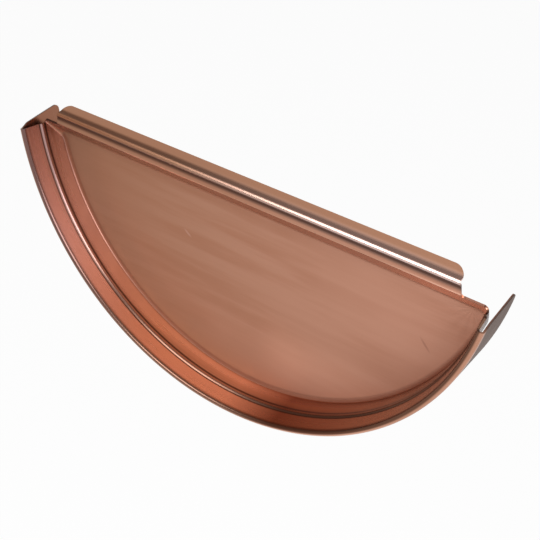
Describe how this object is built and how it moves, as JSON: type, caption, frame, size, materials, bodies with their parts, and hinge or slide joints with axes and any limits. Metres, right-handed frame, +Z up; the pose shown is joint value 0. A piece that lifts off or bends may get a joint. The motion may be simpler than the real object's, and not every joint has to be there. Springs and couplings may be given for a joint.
{
  "type": "gutter end cap",
  "caption": "Half-round end cap of bare copper sheet that closes a roof gutter's end: D-shaped pan with a folded rim, a flared lip and a beaded straight top.",
  "frame": {"origin": "centre of the half-round gutter's end where its sheet seats in the fold of the rim: on the gutter's axis, in the plane of the fold's inner bottom", "axes": "+X along the straight top edge, +Y from the outside face into the gutter along its axis, +Z up"},
  "size_m": [0.155, 0.0159, 0.0744],
  "materials": {
    "copper": "bare copper sheet with a satin rolled surface and light tarnish"
  },
  "bodies": {
    "root": {"end_cap": "copper"}
  },
  "joints": []
}
